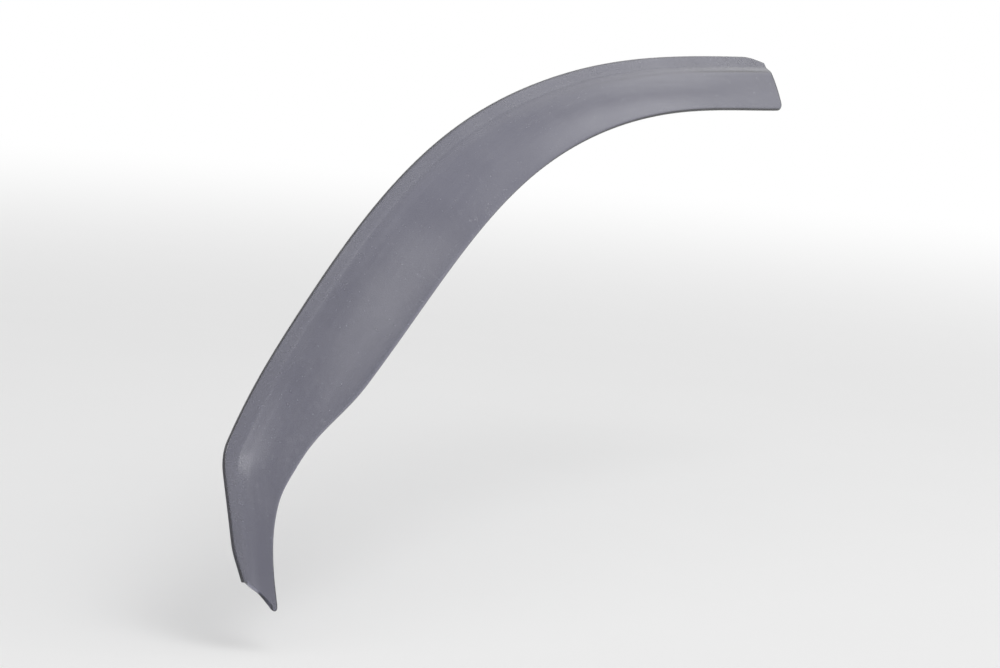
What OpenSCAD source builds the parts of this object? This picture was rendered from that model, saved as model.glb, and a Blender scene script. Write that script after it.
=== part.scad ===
// Window rain deflector for a front side door: one formed sheet of smoked acrylic.
// Millimetres. X runs towards the rear of the car, Y inboard and Z up.
// The origin lies on the outer face of the door glass, at the corner where the bend
// line of the pillar run meets the bend line of the divider post.

/* [Door glass] */
// Inward lean of the glass at the origin, degrees
glass_lean = 26.3; // [20:0.1:32]
// Radius of the glass's barrel curve, top to bottom
glass_barrel_r = 2000; // [1400:50:4000]
// How far the glass turns inboard towards the front, degrees
glass_toe = 3.5; // [0:0.1:6]
// Radius of the glass's bow, front to rear
glass_bow_r = 13500; // [8000:100:30000]

/* [Bend line] */
// Distance of the rear end behind the origin
top_l = 785; // [720:1:860]
// Height of the rear end
top_h = 228; // [215:1:245]
// Distance of the shoulder point behind the origin
shoulder_l = 427; // [380:1:470]
// Height of the shoulder point
shoulder_h = 203; // [190:1:212]
// Slope of the bend line at the shoulder point, degrees
shoulder_slope = 11.4; // [8:0.1:15]
// Distance of the pillar point behind the origin
pillar_l = 101; // [80:1:130]
// Height of the pillar point
pillar_h = 69.5; // [55:0.5:85]
// Slope of the bend line at the pillar point, degrees
pillar_slope = 31; // [25:0.1:36]
// Slope of the bend line where it comes down to the corner, degrees
corner_slope = 39; // [33:0.1:44]
// Length of each side that the corner's curve takes up
corner_cut = 9; // [5:0.5:16]
// Length of the leg along the divider post
post_l = 67; // [50:1:85]
// Lean of the divider post from upright, degrees
post_lean = 14.3; // [8:0.1:20]

/* [Free edge] */
// Face width at the rear end, as seen from the side
rear_w = 40.5; // [34:0.5:48]
// Slant of the rear end cut from upright, degrees
rear_cut = 26; // [0:1:32]
// Face width at the shoulder point
shoulder_w = 39; // [32:0.5:46]
// Slope of the free edge below the shoulder point, degrees
shoulder_edge_slope = 13.8; // [10:0.1:18]
// Face width at the pillar point
pillar_w = 46.5; // [38:0.5:54]
// Slope of the free edge below the pillar point, degrees
pillar_edge_slope = 27.1; // [23:0.1:31]
// Face width at the top of the corner
knee_w = 35.5; // [28:0.5:42]
// Slope of the free edge at the top of the corner, degrees
knee_edge_slope = 34.7; // [29:0.1:40]
// Face width at the bottom of the corner
post_w = 28.5; // [22:0.5:34]
// Slope of the free edge at the bottom of the corner, degrees
post_edge_slope = 46.3; // [40:0.1:56]
// How far the widths at the corner fan out from square, degrees
corner_fan = 22; // [16:1:28]
// Length of the slanting cut at the foot
foot_w = 24; // [18:0.5:30]
// Slant of the foot's cut from upright, degrees
foot_cut = 26; // [20:1:34]
// Slope of the free edge at the foot, degrees
foot_edge_slope = 79; // [72:0.5:84]

/* [Section] */
// Thickness of the sheet
wall = 3; // [2:0.1:4]
// Clearance between the flange and the glass
channel_gap = 1; // [0.5:0.1:2]
// Depth of the flange that tucks into the glass channel
flange_w = 9; // [6:0.5:12]
// Width over which the sheet steps out from the flange
step_w = 9; // [8:0.5:12]
// Height of that step
step_h = 4.5; // [3:0.25:5]
// Distance of the free edge's outer face from the glass
edge_stand = 16.5; // [14:0.5:19]
// The same distance at the rear end
rear_stand = 12.5; // [11:0.5:16]
// The same distance at the foot
foot_stand = 11; // [10:0.5:14]
// Slope left in the crowned face at the free edge, as a share of its mean slope
edge_lift = 0.25; // [0:0.05:0.6]

/* [Ends] */
// Radius of the free edge's corners at the rear end and at the foot
end_r = 6; // [3:0.5:8]
// Depth of the flange at both ends
flange_end_w = 4; // [2.5:0.5:6]
// Length over which the flange tapers to its end depth
flange_taper = 19; // [12:1:30]
// Break of the sharp corners around both end cuts
arris = 0.4; // [0.2:0.1:0.8]

/* [Hidden] */
smoked_grey = [0.50, 0.49, 0.54];

// Rings across each of the five spans of the guide curves, rear end to foot
span_steps = [26, 24, 12, 8, 12];
last_span = len(span_steps) - 1;
// Rings that round each end's corner
end_steps = 5;
// Points on each side of the flange, the step and the face
flange_steps = 3;
step_steps = 6;
face_steps = 9;
// Share of a span that each guide curve's handles take up
pull = 0.36;
// Share of the first span over which the stand of the free edge rises to its full height
stand_rise = 0.6;
// Span in which it starts to fall again towards the foot
fall_span = 2;
half_wall = wall / 2;
flange_mid = channel_gap + half_wall;
tiny = 0.01;

function dir(a) = [cos(a), sin(a)];
function unit(v) = v / norm(v);
function smooth(t) = t * t * (3 - 2 * t);
function clamp01(t) = min(1, max(0, t));

// The outer face of the door glass, at a place seen from the side as [x, z]
function glass(q) = [
    q[0],
    q[1] * tan(glass_lean) + q[1] * q[1] / (2 * glass_barrel_r)
        - q[0] * tan(glass_toe) + q[0] * q[0] / (2 * glass_bow_r),
    q[1]
];
// Outboard normal of the glass at that place
function outboard(q) = unit([
    q[0] / glass_bow_r - tan(glass_toe),
    -1,
    q[1] / glass_barrel_r + tan(glass_lean)
]);

// Guide points are [place seen from the side, heading], from the rear end to the foot
corner_top = corner_cut * dir(corner_slope);
corner_low = corner_cut * dir(270 - post_lean);
bend_rear = [top_l, top_h];
bend_shoulder = [shoulder_l, shoulder_h];
bend_pillar = [pillar_l, pillar_h];
bend_foot = post_l * dir(270 - post_lean);

bend_line = [
    [bend_rear, 180],
    [bend_shoulder, 180 + shoulder_slope],
    [bend_pillar, 180 + pillar_slope],
    [corner_top, 180 + corner_slope],
    [corner_low, 270 - post_lean],
    [bend_foot, 270 - post_lean]
];
free_edge = [
    [bend_rear + rear_w * dir(270 - rear_cut), 180],
    [bend_shoulder + shoulder_w * dir(270 + shoulder_slope), 180 + shoulder_edge_slope],
    [bend_pillar + pillar_w * dir(270 + pillar_slope), 180 + pillar_edge_slope],
    [corner_top + knee_w * dir(270 + corner_slope + corner_fan), 180 + knee_edge_slope],
    [corner_low + post_w * dir(-post_lean - corner_fan), 180 + post_edge_slope],
    [bend_foot + foot_w * dir(270 + foot_cut), 180 + foot_edge_slope]
];

// Point of a guide curve in one span, which is a cubic between two guide points
function cubic(p, a, b, q, t) =
    pow(1 - t, 3) * p + 3 * pow(1 - t, 2) * t * a + 3 * (1 - t) * t * t * b + pow(t, 3) * q;
function guide(curve, span, t) =
    let (
        from = curve[span],
        to = curve[span + 1],
        handle = pull * norm(to[0] - from[0])
    )
    cubic(from[0], from[0] + handle * dir(from[1]), to[0] - handle * dir(to[1]), to[0], t);

// Outer face's distance from the glass at the free edge
function stand(span, t) =
    span == 0 ? rear_stand + (edge_stand - rear_stand) * smooth(clamp01(t / stand_rise)) :
    span < fall_span ? edge_stand :
    let (fall = (span - fall_span + t) / (last_span + 1 - fall_span))
    edge_stand + (foot_stand - edge_stand) * smooth(fall);

// Middle of the sheet's height over the glass, a distance s from the bend line, on a
// face of width w whose middle ends at height top: flange, step, then crowned face
function face_start_slope(w, top) =
    (2 - edge_lift) * (top - flange_mid - step_h) / (w - half_wall - step_w);
function mid_height(s, w, top) =
    let (
        v = clamp01(s / step_w),
        u = max(0, (s - step_w) / (w - half_wall - step_w)),
        rise = top - flange_mid - step_h
    )
    flange_mid + step_h * smooth(v) + face_start_slope(w, top) * step_w * (v * v * v - v * v)
        + rise * ((2 - edge_lift) * u - (1 - edge_lift) * u * u);
// Direction across the sheet there, towards its outer face
function mid_normal(s, w, top) =
    unit([mid_height(s - tiny, w, top) - mid_height(s + tiny, w, top), 2 * tiny]);

// Distances from the bend line at which the section has points, flange to free edge
function section_stops(flange, reach) = concat(
    [for (k = [0 : flange_steps - 1]) -flange * (1 - k / flange_steps)],
    [for (k = [0 : step_steps]) step_w * k / step_steps],
    [for (k = [1 : face_steps]) step_w + (reach - step_w) * k / face_steps]
);
// Closed outline of the section: outer face, free edge, inner face, flange end
function section(flange, reach, w, top, half) =
    let (
        stops = section_stops(flange - half, reach - half),
        n = len(stops),
        mids = [for (s = stops) [s, mid_height(s, w, top)]],
        outs = [for (s = stops) mid_normal(s, w, top)],
        end_out = outs[n - 1],
        end_on = [end_out[1], -end_out[0]]
    )
    concat(
        [for (i = [0 : n - 1]) mids[i] + half * outs[i]],
        [for (a = [45, 0, -45]) mids[n - 1] + half * (cos(a) * end_on + sin(a) * end_out)],
        [for (i = [n - 1 : -1 : 0]) mids[i] - half * outs[i]],
        [for (a = [-45, 0, 45]) mids[0] + half * (sin(a) * outs[0] - [cos(a), 0])]
    );

// Rings are [span, share of the span, distance from the nearer end]
function span_length(span) = norm(free_edge[span + 1][0] - free_edge[span][0]);
function end_mark(k) = end_r * (1 - cos(90 * k / end_steps));
rear_rings = concat(
    [for (k = [0 : end_steps]) [0, end_mark(k) / span_length(0), end_mark(k)]],
    [for (k = [1 : span_steps[0]])
        let (d = end_r + (span_length(0) - end_r) * k / span_steps[0])
        [0, d / span_length(0), d]]
);
middle_rings = [
    for (span = [1 : last_span - 1]) for (k = [1 : span_steps[span]])
        [span, k / span_steps[span], top_l]
];
foot_rings = concat(
    [for (k = [1 : span_steps[last_span]])
        let (d = end_r + (span_length(last_span) - end_r) * (1 - k / span_steps[last_span]))
        [last_span, 1 - d / span_length(last_span), d]],
    [for (k = [end_steps - 1 : -1 : 0])
        [last_span, 1 - end_mark(k) / span_length(last_span), end_mark(k)]]
);
rings = concat(rear_rings, middle_rings, foot_rings);

// One ring of points around the sheet
function ring(span, t, from_end) =
    let (
        bend = guide(bend_line, span, t),
        edge = guide(free_edge, span, t),
        along = glass(guide(bend_line, span, t + tiny)) - glass(guide(bend_line, span, t - tiny)),
        away = unit(cross(along, outboard(bend))),
        foot = glass(bend),
        w = norm(glass(edge) - foot),
        corner = from_end < end_r ? end_r - sqrt(from_end * (2 * end_r - from_end)) : 0,
        taper = clamp01(from_end / flange_taper),
        flange = flange_end_w + (flange_w - flange_end_w) * taper,
        half = from_end == 0 ? half_wall - arris : half_wall,
        outline = section(flange, w - corner, w, stand(span, t) - half_wall, half)
    )
    [for (p = outline)
        p[0] < 0 ? foot - away * p[0] + outboard(bend) * p[1] :
        let (q = bend + (edge - bend) * p[0] / w)
        glass(q) + outboard(q) * p[1]];

// Triangles between neighbouring rings, and strips that close both end cuts
function side_faces(rows, n) = [
    for (r = [0 : rows - 2]) for (i = [0 : n - 1])
        let (a = r * n + i, b = r * n + (i + 1) % n)
        each [[a, b, a + n], [b, b + n, a + n]]
];
function end_faces(first, side) =
    let (edge = first + side, back = first + 2 * side + 3)
    concat(
        [for (i = [0 : side - 2])
            [first + i, first + i + 1, back - 1 - i]],
        [for (i = [0 : side - 2])
            [first + i + 1, back - 2 - i, back - 1 - i]],
        [[edge - 1, edge, edge + 3], [edge, edge + 1, edge + 3], [edge + 1, edge + 2, edge + 3]],
        [[back - 1, back, first], [back, back + 1, first], [back + 1, back + 2, first]]
    );
function turned(faces) = [for (f = faces) [f[2], f[1], f[0]]];

module deflector() {
    ring_points = [for (r = rings) ring(r[0], r[1], r[2])];
    n = len(ring_points[0]);
    rows = len(rings);
    side = flange_steps + step_steps + face_steps + 1;
    color(smoked_grey)
        polyhedron(
            points = [for (points = ring_points) each points],
            faces = concat(
                side_faces(rows, n),
                turned(end_faces(0, side)),
                end_faces((rows - 1) * n, side)
            ),
            convexity = 6
        );
}

deflector();
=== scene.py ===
import math

import bmesh
import bpy
from mathutils import Matrix, Vector, noise


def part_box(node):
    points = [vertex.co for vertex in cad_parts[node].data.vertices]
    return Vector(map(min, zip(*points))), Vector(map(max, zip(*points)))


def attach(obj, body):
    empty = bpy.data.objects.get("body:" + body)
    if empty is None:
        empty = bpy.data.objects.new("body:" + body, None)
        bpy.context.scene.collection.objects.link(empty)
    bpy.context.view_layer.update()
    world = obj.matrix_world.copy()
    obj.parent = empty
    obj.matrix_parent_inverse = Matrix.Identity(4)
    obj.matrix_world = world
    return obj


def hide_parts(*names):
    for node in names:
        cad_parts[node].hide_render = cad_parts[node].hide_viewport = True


# Window rain deflector in a plain studio, seen from where the photograph was taken.
# Metres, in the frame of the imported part: X rearward, Y inboard and Z up.

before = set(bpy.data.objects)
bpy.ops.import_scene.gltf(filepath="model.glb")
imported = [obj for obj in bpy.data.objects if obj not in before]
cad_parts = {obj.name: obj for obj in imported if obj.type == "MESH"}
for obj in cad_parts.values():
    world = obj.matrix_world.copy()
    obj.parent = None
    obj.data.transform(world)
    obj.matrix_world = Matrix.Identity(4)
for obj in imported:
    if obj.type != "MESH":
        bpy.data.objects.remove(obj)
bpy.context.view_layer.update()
lowest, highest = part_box("deflector")
middle = (lowest + highest) / 2

# Door glass that the deflector is laid on, as in the part's source
GLASS_LEAN = math.radians(26.3)
GLASS_BARREL_R = 2.0
GLASS_TOE = math.radians(3.5)
GLASS_BOW_R = 13.5

# Thickness of the sheet, and the distance from the glass to the middle of its wall at both edges
WALL = 0.003
FLANGE_HEIGHT = 0.0025
FACE_HEIGHT = 0.015

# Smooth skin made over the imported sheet
WELD = 1e-6
JOIN_ANGLE = 0.9
SKIN_LEVELS = 2
# How far a point's normal agrees with the glass's, where the rim starts and where it is full
RIM_STARTS = 0.72
RIM_FULL = 0.35
# Waviness, and the shares of the sheet's height where it comes in and dies out
WAVE_HEIGHT = 0.00007
WAVE_LENGTH = 0.055
WAVES_COME = (0.2, 0.5)
WAVES_GO = (0.9, 1)

# Camera: its place in the photograph, aimed so that the part is in the middle of the picture.
# The lens is longer than the photograph's. Lens and sensor are in millimetres.
CAMERA_PLACE = Vector((-1.3955, -1.0868, 0.3247))
CAMERA_AIM = Vector((0.361, 0.054, 0.045))
CAMERA_ROLL = math.radians(5.0)
CAMERA_LENS = 110
SENSOR = 36

# Floor, and the distances from its middle between which it fades into white
FLOOR_DROP = 0.025
FLOOR_SIZE = 24
FLOOR_COLOUR = (0.90, 0.90, 0.90, 1)
FLOOR_ROUGHNESS = 0.9
FLOOR_SPECULAR = 0.2
FLOOR_FADE = (0.8, 3.2)

# Light: soft panels by azimuth and elevation in degrees, size in metres and power in watts
WHITE = (1, 1, 1, 1)
WORLD_LIGHT = 0.72
PANEL_DISTANCE = 2.6
PANELS = {
    "overhead": (-110, 62, (3.2, 2.4), 22),
    "rear_panel": (-15, 31, (0.95, 1.2), 1.3),
    "end_panel": (4, 33, (0.95, 1.2), 0.45),
    "side_panel": (-38, 41, (0.75, 1.3), 1.0),
}
# A panel's middle in its own coordinates, how far from it the light starts and is full, and how
# bright the middle is against an even panel of the same power
PANEL_MIDDLE = (0.5, 0.5, 0)
PANEL_FADE = (0.5, 0.08)
PANEL_PEAK = 2.6

# Smoked acrylic: what a wall of it lets through, shared by its surfaces and its depth
SURFACE_TINT = (0.372, 0.372, 0.427)
DEPTH_TINT = (0.447, 0.447, 0.513)
# Density above the strongest absorption, so that the depth's colour is black in no channel
DENSITY_MARGIN = 1.25
ACRYLIC_IOR = 1.49
CLEARNESS = 0.92
DUST_COLOUR = (0.60, 0.60, 0.62, 1)

# How far each mark of use turns the tint towards dust, and how much roughness it adds
LIGHTENED = {
    "film": 0.30,
    "streaks": 0.22,
    "dust": 0.45,
    "rings": 0.42,
    "hairs": 0.16,
    "scuffs": 0.15,
}
ROUGHENED = {
    "rim": 0.10,
    "streaks": 0.03,
    "dust": 0.25,
    "rings": 0.15,
    "hairs": 0.12,
    "scuffs": 0.15,
}
# Relief of the surface, in metres
PEEL_HEIGHT = 0.000003
SCRATCH_DEPTH = 0.0000015
FILED_HEIGHT = 0.00001

# Patterns of noise: features to the metre, how many times more along X, Y and Z, octaves of
# detail, the noise values where the pattern starts and is full, and what it gives there if not
# 0 and 1. The streaks' X is the distance from the knee, and their Y the share of the height.
# The haze gives the roughness of the clean sheet.
PATTERNS = {
    "film": {"scale": 20, "detail": 4, "span": (0.35, 0.70)},
    "broad_streaks": {"times": (9, 5, 1), "detail": 2, "span": (0.45, 0.68)},
    "fine_streaks": {"times": (16, 17, 1), "detail": 3, "span": (0.46, 0.66), "gives": (0, 0.7)},
    "drop_patches": {"scale": 22, "detail": 2, "span": (0.46, 0.62)},
    "long_hairs": {"scale": 60, "times": (1, 6, 22), "detail": 3, "span": (0.66, 0.72)},
    "crossed_hairs": {"scale": 50, "times": (14, 5, 2), "detail": 3, "span": (0.68, 0.74)},
    "dust_layer": {"scale": 24, "detail": 4, "span": (0.3, 0.8), "gives": (0.25, 1.25)},
    "dust_grain": {"scale": 2200, "detail": 1, "span": (0.55, 0.75), "gives": (0.35, 1.35)},
    "specks": {"scale": 800, "detail": 1, "span": (0.72, 0.78)},
    "scuffs": {"scale": 900, "detail": 2, "span": (0.3, 0.7), "gives": (0.8, 1.2)},
    "peel": {"scale": 60, "detail": 1},
    "file_marks": {"scale": 900, "detail": 2},
    "haze": {"scale": 14, "detail": 3, "span": (0.3, 0.7), "gives": (0.035, 0.075)},
    "floor_grain": {"scale": 9, "detail": 4, "span": (0.2, 0.8), "gives": (0, 0.05)},
}
# Dried drops: cells to the metre, then the distances from a cell's middle between which the
# drop's rim comes in, and between which it fades to what is left in its middle
DROPS = 130
DROP_RIM = (0.30, 0.24)
DROP_FADE = (0.24, 0.14)
DROP_MIDDLE = 0.35
# Shares of the sheet's height: the hollow's upper and lower end, and the flange's end
HOLLOW_TOP = (0.45, 0.16)
HOLLOW_FOOT = (0.03, 0.12)
FLANGE_END = (0.12, 0.02)


def height_over_glass(point):
    """Distance of a point from the glass's outer face, and the glass's outboard normal there."""
    x, y, z = point
    slope_x = x / GLASS_BOW_R - math.tan(GLASS_TOE)
    slope_z = z / GLASS_BARREL_R + math.tan(GLASS_LEAN)
    outboard = Vector((slope_x, -1, slope_z)).normalized()
    surface = (
        z * math.tan(GLASS_LEAN) + z * z / (2 * GLASS_BARREL_R)
        - x * math.tan(GLASS_TOE) + x * x / (2 * GLASS_BOW_R)
    )
    return (surface - y) * abs(outboard.y), outboard


def smooth_step(value, start, end):
    """How far a value is from start to end, from 0 to 1 and eased at both."""
    share = min(1, max(0, (value - start) / (end - start)))
    return share * share * (3 - 2 * share)


def make_skin(node):
    """A welded copy of a packed sheet in four-sided faces, subdivided and shaded smooth."""
    mesh = bpy.data.meshes.new("deflector_sheet")
    shape = bmesh.new()
    shape.from_mesh(node.data)
    bmesh.ops.remove_doubles(shape, verts=shape.verts, dist=WELD)
    bmesh.ops.join_triangles(
        shape,
        faces=shape.faces,
        angle_face_threshold=JOIN_ANGLE,
        angle_shape_threshold=math.pi,
        topology_influence=1,
    )
    shape.to_mesh(mesh)
    shape.free()
    skin = bpy.data.objects.new("deflector_sheet", mesh)
    bpy.context.scene.collection.objects.link(skin)
    smoother = skin.modifiers.new("smoother", "SUBSURF")
    smoother.levels = SKIN_LEVELS
    smoother.render_levels = SKIN_LEVELS
    evaluated = skin.evaluated_get(bpy.context.evaluated_depsgraph_get())
    finished = bpy.data.meshes.new_from_object(evaluated)
    skin.modifiers.clear()
    skin.data = finished
    finished.name = "deflector_sheet"
    finished.materials.clear()
    finished.shade_smooth()
    return skin


def mark_zones(skin):
    """Point attributes for the material: height from flange to free edge, rim and outer face."""
    mesh = skin.data
    zones = {
        name: mesh.attributes.new(name, "FLOAT", "POINT").data
        for name in ("height", "rim", "outer")
    }
    for vertex in mesh.vertices:
        over, outboard = height_over_glass(vertex.co)
        facing = vertex.normal.dot(outboard)
        mid = over - WALL / 2 * facing
        index = vertex.index
        zones["height"][index].value = (mid - FLANGE_HEIGHT) / (FACE_HEIGHT - FLANGE_HEIGHT)
        zones["rim"][index].value = smooth_step(abs(facing), RIM_STARTS, RIM_FULL)
        zones["outer"][index].value = smooth_step(facing, 0, RIM_STARTS)


def add_waves(skin):
    """The slight waviness of a heat-formed sheet, none at its rims, so that it stays in its box."""
    mesh = skin.data
    rims = mesh.attributes["rim"].data
    heights = mesh.attributes["height"].data
    moves = []
    for vertex in mesh.vertices:
        index = vertex.index
        away = (1 - rims[index].value) * smooth_step(heights[index].value, *WAVES_COME)
        away *= 1 - smooth_step(heights[index].value, *WAVES_GO)
        moves.append(vertex.normal * noise.noise(vertex.co / WAVE_LENGTH) * WAVE_HEIGHT * away)
    for vertex, move in zip(mesh.vertices, moves):
        vertex.co += move
    mesh.update()


def add(tree, kind, inputs=None, **settings):
    """A new node with its settings and inputs, each a value or another node's output."""
    made = tree.nodes.new(kind)
    for name, value in settings.items():
        setattr(made, name, value)
    for name, value in (inputs or {}).items():
        if isinstance(value, bpy.types.NodeSocket):
            tree.links.new(value, made.inputs[name])
        else:
            made.inputs[name].default_value = value
    return made


def compute(tree, operation, first, second):
    """Output of a Math node."""
    return add(tree, "ShaderNodeMath", {0: first, 1: second}, operation=operation).outputs[0]


def length(tree, vector):
    """Length of a vector."""
    made = add(tree, "ShaderNodeVectorMath", {0: vector}, operation="LENGTH")
    return made.outputs["Value"]


def mixed_colour(tree, factor, first, second):
    """Colour that goes from first to second as the factor goes from 0 to 1."""
    made = add(tree, "ShaderNodeMix", {"Factor": factor, "A": first, "B": second}, data_type="RGBA")
    return made.outputs["Result"]


def ramp(tree, value, start, end, low=0, high=1):
    """A value that goes smoothly from low to high as another goes from start to end."""
    made = add(
        tree,
        "ShaderNodeMapRange",
        {"Value": value, "From Min": start, "From Max": end, "To Min": low, "To Max": high},
        interpolation_type="SMOOTHSTEP",
    )
    return made.outputs["Result"]


def zone(tree, name):
    """One of the sheet's point attributes."""
    return add(tree, "ShaderNodeAttribute", attribute_name=name).outputs["Fac"]


def pattern(tree, place, name):
    """One of the patterns of noise at a place, or its plain noise where it has no span."""
    wanted = {"scale": 1, "times": (1, 1, 1), "gives": (0, 1), **PATTERNS[name]}
    spread = add(tree, "ShaderNodeMapping", {"Vector": place, "Scale": wanted["times"]})
    clouds = add(
        tree,
        "ShaderNodeTexNoise",
        {
            "Vector": spread.outputs["Vector"],
            "Scale": wanted["scale"],
            "Detail": wanted["detail"],
        },
    ).outputs["Fac"]
    if "span" not in wanted:
        return clouds
    return ramp(tree, clouds, *wanted["span"], *wanted["gives"])


def along_sheet(tree, place, height):
    """A place on the sheet as its distance from the knee in metres and its share of the height."""
    inputs = {"X": length(tree, place), "Y": height}
    return add(tree, "ShaderNodeCombineXYZ", inputs).outputs["Vector"]


def wiped_streaks(tree, along):
    """Long soft streaks that a cloth and running water leave along the sheet."""
    broad = pattern(tree, along, "broad_streaks")
    return compute(tree, "MAXIMUM", broad, pattern(tree, along, "fine_streaks"))


def water_marks(tree, place):
    """Rings left by dried drops, a few millimetres wide, in patches."""
    cells = add(tree, "ShaderNodeTexVoronoi", {"Vector": place, "Scale": DROPS, "Randomness": 1})
    distance = cells.outputs["Distance"]
    inside = ramp(tree, distance, *DROP_RIM)
    hollow = ramp(tree, distance, *DROP_FADE, 1, DROP_MIDDLE)
    ring = compute(tree, "MULTIPLY", inside, hollow)
    return compute(tree, "MULTIPLY", ring, pattern(tree, place, "drop_patches"))


def scratches(tree, place):
    """Hair-fine marks along and across the sheet."""
    long_hairs = pattern(tree, place, "long_hairs")
    return compute(tree, "MAXIMUM", long_hairs, pattern(tree, place, "crossed_hairs"))


def settled_dust(tree, place, height):
    """Dust in the hollow between the flange and the face, and sparse specks elsewhere."""
    from_top = ramp(tree, height, *HOLLOW_TOP)
    hollow = compute(tree, "MULTIPLY", from_top, ramp(tree, height, *HOLLOW_FOOT))
    layer = pattern(tree, place, "dust_layer")
    grainy = compute(tree, "MULTIPLY", layer, pattern(tree, place, "dust_grain"))
    lying = compute(tree, "MULTIPLY", hollow, grainy)
    return compute(tree, "MAXIMUM", lying, pattern(tree, place, "specks"))


def marks_of_use(tree, place):
    """How much of each mark of use there is at a place."""
    height = zone(tree, "height")
    outer = zone(tree, "outer")
    outside = {
        "film": pattern(tree, place, "film"),
        "streaks": wiped_streaks(tree, along_sheet(tree, place, height)),
        "dust": settled_dust(tree, place, height),
        "rings": water_marks(tree, place),
    }
    marks = {name: compute(tree, "MULTIPLY", mark, outer) for name, mark in outside.items()}
    marks["hairs"] = scratches(tree, place)
    flange = ramp(tree, height, *FLANGE_END)
    marks["scuffs"] = compute(tree, "MULTIPLY", flange, pattern(tree, place, "scuffs"))
    marks["rim"] = zone(tree, "rim")
    return marks


def summed(tree, marks, shares, start=0):
    """Start value plus each mark times its share."""
    result = start
    for name, share in shares.items():
        part = compute(tree, "MULTIPLY", marks[name], share)
        result = compute(tree, "ADD", result, part)
    return result


def relief(tree, place, marks):
    """Height of the surface in metres: orange peel, scratches and the filed rims."""
    peel = compute(tree, "MULTIPLY", pattern(tree, place, "peel"), PEEL_HEIGHT)
    scored = compute(tree, "MULTIPLY", marks["hairs"], -SCRATCH_DEPTH)
    file_marks = compute(tree, "MULTIPLY", pattern(tree, place, "file_marks"), FILED_HEIGHT)
    filed = compute(tree, "MULTIPLY", file_marks, marks["rim"])
    return compute(tree, "ADD", compute(tree, "ADD", peel, scored), filed)


def start_material(name):
    """A new material, its node tree, and the tree's only socket so far: the place on the object."""
    material = bpy.data.materials.new(name)
    material.use_nodes = True
    tree = material.node_tree
    tree.nodes.clear()
    return material, tree, add(tree, "ShaderNodeTexCoord").outputs["Object"]


def smoked_acrylic():
    """Glossy smoke-tinted acrylic with the marks that weather, cloths and fitting leave."""
    material, tree, place = start_material("smoked_acrylic_finish")
    marks = marks_of_use(tree, place)
    dustiness = summed(tree, marks, LIGHTENED)
    bump = add(
        tree,
        "ShaderNodeBump",
        {"Height": relief(tree, place, marks), "Strength": 1, "Distance": 1},
    )
    shader = add(
        tree,
        "ShaderNodeBsdfPrincipled",
        {
            "Base Color": mixed_colour(tree, dustiness, (*SURFACE_TINT, 1), DUST_COLOUR),
            "Roughness": summed(tree, marks, ROUGHENED, pattern(tree, place, "haze")),
            "Normal": bump.outputs["Normal"],
            "IOR": ACRYLIC_IOR,
            "Transmission Weight": CLEARNESS,
        },
    )
    absorbed = [-math.log(share) / WALL for share in DEPTH_TINT]
    density = max(absorbed) * DENSITY_MARGIN
    depth = add(
        tree,
        "ShaderNodeVolumeAbsorption",
        {"Color": (*[1 - part / density for part in absorbed], 1), "Density": density},
    )
    output = add(tree, "ShaderNodeOutputMaterial")
    tree.links.new(shader.outputs["BSDF"], output.inputs["Surface"])
    tree.links.new(depth.outputs["Volume"], output.inputs["Volume"])
    return material


def seen_directly(tree):
    """1 for rays that show the surroundings: seen, reflected or through the sheet."""
    rays = add(tree, "ShaderNodeLightPath")
    shown = compute(tree, "MAXIMUM", rays.outputs["Is Camera Ray"], rays.outputs["Is Glossy Ray"])
    return compute(tree, "MAXIMUM", shown, rays.outputs["Is Transmission Ray"])


def floor_paint():
    """Pale matt floor with a little grain, which fades into the white surroundings."""
    material, tree, place = start_material("pale_floor")
    grain = pattern(tree, place, "floor_grain")
    matt = add(
        tree,
        "ShaderNodeBsdfPrincipled",
        {
            "Base Color": mixed_colour(tree, grain, FLOOR_COLOUR, WHITE),
            "Roughness": FLOOR_ROUGHNESS,
            "Specular IOR Level": FLOOR_SPECULAR,
        },
    )
    glow = add(tree, "ShaderNodeEmission", {"Color": WHITE, "Strength": 1})
    faded = ramp(tree, length(tree, place), *FLOOR_FADE)
    white = compute(tree, "MULTIPLY", faded, seen_directly(tree))
    both = add(tree, "ShaderNodeMixShader", {0: white, 1: matt.outputs[0], 2: glow.outputs[0]})
    output = add(tree, "ShaderNodeOutputMaterial")
    tree.links.new(both.outputs["Shader"], output.inputs["Surface"])
    return material


def make_floor():
    """The stage: one flat square a little below the part, which its mount holds up."""
    half = FLOOR_SIZE / 2
    corners = [(-half, -half, 0), (half, -half, 0), (half, half, 0), (-half, half, 0)]
    mesh = bpy.data.meshes.new("floor")
    mesh.from_pydata(corners, [], [(0, 1, 2, 3)])
    floor = bpy.data.objects.new("floor", mesh)
    floor.location = (middle.x, middle.y, lowest.z - FLOOR_DROP)
    bpy.context.scene.collection.objects.link(floor)
    mesh.materials.append(floor_paint())


def make_world():
    """Even studio light, which shows as plain white behind the part and in it."""
    world = bpy.data.worlds.new("studio")
    bpy.context.scene.world = world
    world.use_nodes = True
    tree = world.node_tree
    tree.nodes.clear()
    even = add(tree, "ShaderNodeBackground", {"Color": WHITE, "Strength": WORLD_LIGHT})
    white = add(tree, "ShaderNodeBackground", {"Color": WHITE, "Strength": 1})
    shown = seen_directly(tree)
    both = add(tree, "ShaderNodeMixShader", {0: shown, 1: even.outputs[0], 2: white.outputs[0]})
    output = add(tree, "ShaderNodeOutputWorld")
    tree.links.new(both.outputs["Shader"], output.inputs["Surface"])


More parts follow.
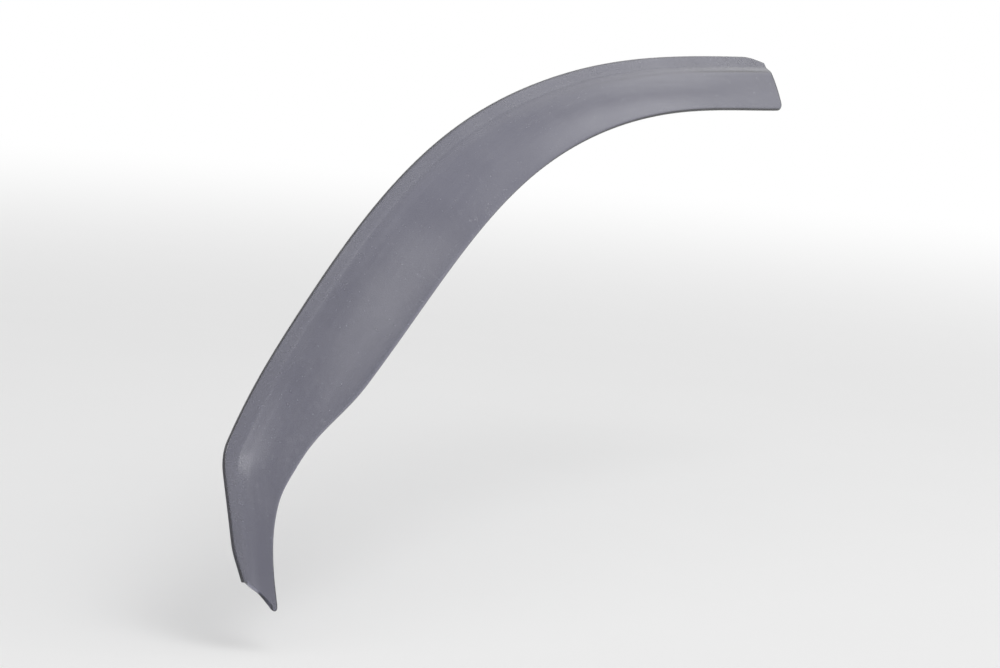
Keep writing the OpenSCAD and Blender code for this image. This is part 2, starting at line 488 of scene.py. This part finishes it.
def soften_panel(data):
    """Lets a panel's light fall off towards its edge, so that its reflection has no hard edge."""
    data.use_nodes = True
    tree = data.node_tree
    tree.nodes.clear()
    place = add(tree, "ShaderNodeNewGeometry").outputs["Parametric"]
    centred = add(tree, "ShaderNodeVectorMath", {0: place, 1: PANEL_MIDDLE}, operation="SUBTRACT")
    strength = ramp(tree, length(tree, centred.outputs["Vector"]), *PANEL_FADE, 0, PANEL_PEAK)
    glow = add(tree, "ShaderNodeEmission", {"Color": WHITE, "Strength": strength})
    output = add(tree, "ShaderNodeOutputLight")
    tree.links.new(glow.outputs["Emission"], output.inputs["Surface"])


def make_softbox(name, azimuth, elevation, size, power):
    """A soft panel that faces the part's middle. Azimuth turns from +X towards +Y."""
    turn = math.radians(azimuth)
    rise = math.radians(elevation)
    toward = Vector(
        (math.cos(turn) * math.cos(rise), math.sin(turn) * math.cos(rise), math.sin(rise))
    )
    data = bpy.data.lights.new(name, "AREA")
    data.shape = "RECTANGLE"
    data.size, data.size_y = size
    data.energy = power
    soften_panel(data)
    panel = bpy.data.objects.new(name, data)
    panel.location = middle + toward * PANEL_DISTANCE
    panel.rotation_mode = "QUATERNION"
    panel.rotation_quaternion = toward.to_track_quat("Z", "Y")
    panel.visible_camera = False
    panel.visible_transmission = False
    bpy.context.scene.collection.objects.link(panel)


def make_camera():
    """The camera stands where the photograph's did and aims at the part."""
    data = bpy.data.cameras.new("camera")
    data.lens = CAMERA_LENS
    data.sensor_width = SENSOR
    camera = bpy.data.objects.new("camera", data)
    ahead = (CAMERA_AIM - CAMERA_PLACE).normalized()
    level = ahead.to_track_quat("-Z", "Y").to_matrix().to_4x4()
    roll = Matrix.Rotation(CAMERA_ROLL, 4, "Z")
    camera.matrix_world = Matrix.Translation(CAMERA_PLACE) @ level @ roll
    bpy.context.scene.collection.objects.link(camera)
    bpy.context.scene.camera = camera


make_camera()
make_world()
for panel_name, setting in PANELS.items():
    make_softbox(panel_name, *setting)
make_floor()

sheet = make_skin(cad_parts["deflector"])
mark_zones(sheet)
add_waves(sheet)
sheet.data.materials.append(smoked_acrylic())
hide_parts("deflector")
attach(sheet, "root")

bpy.context.scene.view_settings.view_transform = "Standard"
